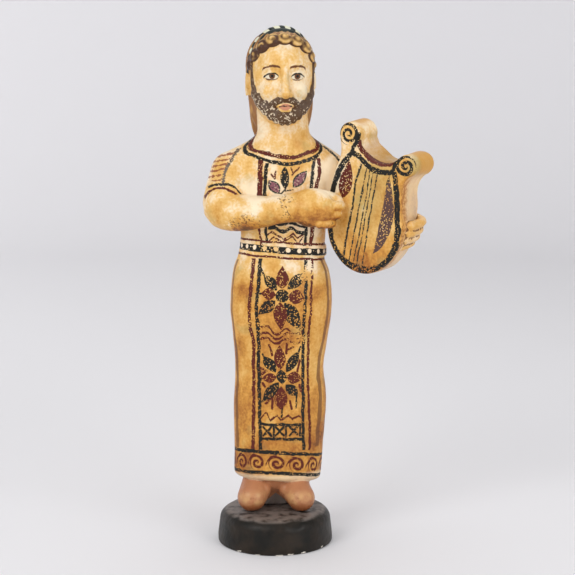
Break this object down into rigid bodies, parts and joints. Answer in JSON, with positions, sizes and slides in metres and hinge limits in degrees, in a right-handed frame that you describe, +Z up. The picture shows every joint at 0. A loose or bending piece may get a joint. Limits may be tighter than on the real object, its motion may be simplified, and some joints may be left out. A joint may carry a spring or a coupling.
{
  "type": "lyre player statuette",
  "caption": "Standing bearded lyre player in a long belted robe, a hand-painted plaster statuette on a low round base.",
  "frame": {"origin": "centre of the base's underside, which is the surface that the statuette stands on", "axes": "+Z up; the figure faces -Y; its left arm and the lyre are towards +X"},
  "size_m": [0.1252, 0.0795, 0.3006],
  "materials": {
    "painted_plaster": "cast plaster, stained honey yellow, painted by hand in black and dark red, worn, with a soft lacquer gloss",
    "black_paint": "cast plaster painted brown-black with a soft gloss, chipped to white along the bottom edge"
  },
  "bodies": {
    "root": {"figure": "painted_plaster", "base": "black_paint"}
  },
  "joints": []
}
